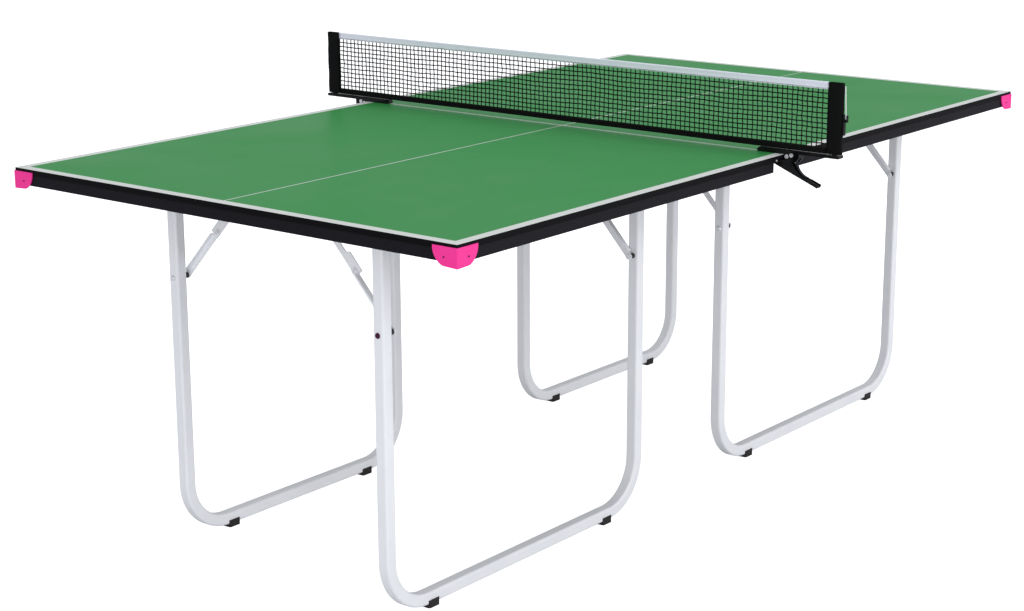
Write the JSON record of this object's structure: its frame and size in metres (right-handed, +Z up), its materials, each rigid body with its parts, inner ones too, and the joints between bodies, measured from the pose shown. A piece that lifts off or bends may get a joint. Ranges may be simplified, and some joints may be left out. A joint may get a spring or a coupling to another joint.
{
  "type": "ping pong table",
  "caption": "Compact two-part table tennis table on folding U-shaped leg frames, with a clamped net and moulded corner guards.",
  "frame": {"origin": "on the floor under the middle of the net, at the bottom centre of the bounding box", "axes": "+X along the length of the table, +Y across its width towards the narrower leg frames, +Z up"},
  "size_m": [2.066, 1.385, 0.9135],
  "materials": {
    "board_green": "painted board, satin",
    "rail_black": "semi-gloss black powder coat",
    "guard_pink": "satin moulded",
    "zinc_steel": "zinc plated",
    "leg_white": "satin white powder coat",
    "foot_black": "matt",
    "spacer_black": "matt",
    "clamp_black": "gloss black",
    "spring_steel": "blackened",
    "net_black": "knotted net",
    "tape_white": "woven tape",
    "tape_black": "woven tape",
    "sleeve_black": "coated cloth",
    "cord_white": "braided"
  },
  "bodies": {
    "half_a": {"half_a_board": "board_green", "half_a_front_rail": "rail_black", "half_a_rear_rail": "rail_black", "half_a_end_rail": "rail_black", "half_a_joint_rail": "rail_black", "half_a_corner_guards": "guard_pink", "half_a_leg_brackets": "zinc_steel", "half_a_rivets": "zinc_steel", "front_net_clamp": "clamp_black", "front_clamp_pins": "zinc_steel", "front_net_sleeve": "sleeve_black", "rear_net_clamp": "clamp_black", "rear_clamp_pins": "zinc_steel", "rear_net_sleeve": "sleeve_black", "net_mesh": "net_black", "net_top_tape": "tape_white", "net_bottom_tape": "tape_black", "net_cord": "cord_white", "net_cord_hook": "clamp_black"},
    "half_b": {"half_b_board": "board_green", "half_b_front_rail": "rail_black", "half_b_rear_rail": "rail_black", "half_b_end_rail": "rail_black", "half_b_joint_rail": "rail_black", "half_b_corner_guards": "guard_pink", "half_b_leg_brackets": "zinc_steel", "half_b_rivets": "zinc_steel"},
    "front_leg_a": {"front_leg_a_tube": "leg_white", "front_leg_a_feet": "foot_black", "front_leg_a_bolts": "zinc_steel", "front_leg_a_stay_spacers": "spacer_black"},
    "front_leg_a_lower_stay": {"front_leg_a_lower_stays": "leg_white", "front_leg_a_stay_rivets": "zinc_steel"},
    "front_leg_a_upper_stay": {"front_leg_a_upper_stays": "leg_white"},
    "rear_leg_a": {"rear_leg_a_tube": "leg_white", "rear_leg_a_feet": "foot_black", "rear_leg_a_bolts": "zinc_steel", "rear_leg_a_stay_spacers": "spacer_black"},
    "rear_leg_a_lower_stay": {"rear_leg_a_lower_stays": "leg_white", "rear_leg_a_stay_rivets": "zinc_steel"},
    "rear_leg_a_upper_stay": {"rear_leg_a_upper_stays": "leg_white"},
    "front_leg_b": {"front_leg_b_tube": "leg_white", "front_leg_b_feet": "foot_black", "front_leg_b_bolts": "zinc_steel", "front_leg_b_stay_spacers": "spacer_black"},
    "front_leg_b_lower_stay": {"front_leg_b_lower_stays": "leg_white", "front_leg_b_stay_rivets": "zinc_steel"},
    "front_leg_b_upper_stay": {"front_leg_b_upper_stays": "leg_white"},
    "rear_leg_b": {"rear_leg_b_tube": "leg_white", "rear_leg_b_feet": "foot_black", "rear_leg_b_bolts": "zinc_steel", "rear_leg_b_stay_spacers": "spacer_black"},
    "rear_leg_b_lower_stay": {"rear_leg_b_lower_stays": "leg_white", "rear_leg_b_stay_rivets": "zinc_steel"},
    "rear_leg_b_upper_stay": {"rear_leg_b_upper_stays": "leg_white"},
    "front_lever": {"front_clamp_lever": "clamp_black", "front_clamp_spring": "spring_steel"},
    "rear_lever": {"rear_clamp_lever": "clamp_black", "rear_clamp_spring": "spring_steel"}
  },
  "joints": [
    {"name": "half_b_parting", "type": "slide", "parent": "half_a", "child": "half_b", "axis": [1, 0, 0], "range_m": [0, 0.4]},
    {"name": "front_leg_a_fold", "type": "hinge", "parent": "half_a", "child": "front_leg_a", "pos_m": [-0.549, -0.31, 0.731], "axis": [1, 0, 0], "range_deg": [0, 50]},
    {"name": "front_leg_a_lower_stay_turn", "type": "hinge", "parent": "front_leg_a", "child": "front_leg_a_lower_stay", "pos_m": [-0.549, -0.31, 0.547], "axis": [1, 0, 0], "range_deg": [0, 34.2]},
    {"name": "front_leg_a_upper_stay_turn", "type": "hinge", "parent": "half_a", "child": "front_leg_a_upper_stay", "pos_m": [-0.549, -0.15, 0.722], "axis": [1, 0, 0], "range_deg": [-41.57, 0]},
    {"name": "rear_leg_a_fold", "type": "hinge", "parent": "half_a", "child": "rear_leg_a", "pos_m": [-0.549, 0.29, 0.731], "axis": [-1, 0, 0], "range_deg": [0, 90]},
    {"name": "rear_leg_a_lower_stay_turn", "type": "hinge", "parent": "rear_leg_a", "child": "rear_leg_a_lower_stay", "pos_m": [-0.549, 0.29, 0.547], "axis": [-1, 0, 0], "range_deg": [0, 46.64]},
    {"name": "rear_leg_a_upper_stay_turn", "type": "hinge", "parent": "half_a", "child": "rear_leg_a_upper_stay", "pos_m": [-0.549, 0.13, 0.722], "axis": [-1, 0, 0], "range_deg": [-47.7, 0]},
    {"name": "front_leg_b_fold", "type": "hinge", "parent": "half_b", "child": "front_leg_b", "pos_m": [0.549, -0.31, 0.731], "axis": [1, 0, 0], "range_deg": [0, 50]},
    {"name": "front_leg_b_lower_stay_turn", "type": "hinge", "parent": "front_leg_b", "child": "front_leg_b_lower_stay", "pos_m": [0.549, -0.31, 0.547], "axis": [1, 0, 0], "range_deg": [0, 34.2]},
    {"name": "front_leg_b_upper_stay_turn", "type": "hinge", "parent": "half_b", "child": "front_leg_b_upper_stay", "pos_m": [0.549, -0.15, 0.722], "axis": [1, 0, 0], "range_deg": [-41.57, 0]},
    {"name": "rear_leg_b_fold", "type": "hinge", "parent": "half_b", "child": "rear_leg_b", "pos_m": [0.549, 0.29, 0.731], "axis": [-1, 0, 0], "range_deg": [0, 90]},
    {"name": "rear_leg_b_lower_stay_turn", "type": "hinge", "parent": "rear_leg_b", "child": "rear_leg_b_lower_stay", "pos_m": [0.549, 0.29, 0.547], "axis": [-1, 0, 0], "range_deg": [0, 46.64]},
    {"name": "rear_leg_b_upper_stay_turn", "type": "hinge", "parent": "half_b", "child": "rear_leg_b_upper_stay", "pos_m": [0.549, 0.13, 0.722], "axis": [-1, 0, 0], "range_deg": [-47.7, 0]},
    {"name": "front_clamp_squeeze", "type": "hinge", "parent": "half_a", "child": "front_lever", "pos_m": [0, -0.568, 0.7565], "axis": [-1, 0, 0], "range_deg": [0, 16], "stiffness_Nm_per_rad": 4, "springref_deg": -5.73, "deforming": ["front_clamp_spring"]},
    {"name": "rear_clamp_squeeze", "type": "hinge", "parent": "half_a", "child": "rear_lever", "pos_m": [0, 0.568, 0.7565], "axis": [1, 0, 0], "range_deg": [0, 16], "stiffness_Nm_per_rad": 4, "springref_deg": -5.73, "deforming": ["rear_clamp_spring"]}
  ],
  "couplings": [
    {"joint": "front_leg_a_lower_stay_turn", "follows": "front_leg_a_fold", "ratio": 0.68007},
    {"joint": "front_leg_a_upper_stay_turn", "follows": "front_leg_a_fold", "ratio": -0.82747},
    {"joint": "rear_leg_a_lower_stay_turn", "follows": "rear_leg_a_fold", "ratio": 0.51596},
    {"joint": "rear_leg_a_upper_stay_turn", "follows": "rear_leg_a_fold", "ratio": -0.52778},
    {"joint": "front_leg_b_lower_stay_turn", "follows": "front_leg_b_fold", "ratio": 0.68007},
    {"joint": "front_leg_b_upper_stay_turn", "follows": "front_leg_b_fold", "ratio": -0.82747},
    {"joint": "rear_leg_b_lower_stay_turn", "follows": "rear_leg_b_fold", "ratio": 0.51596},
    {"joint": "rear_leg_b_upper_stay_turn", "follows": "rear_leg_b_fold", "ratio": -0.52778}
  ]
}
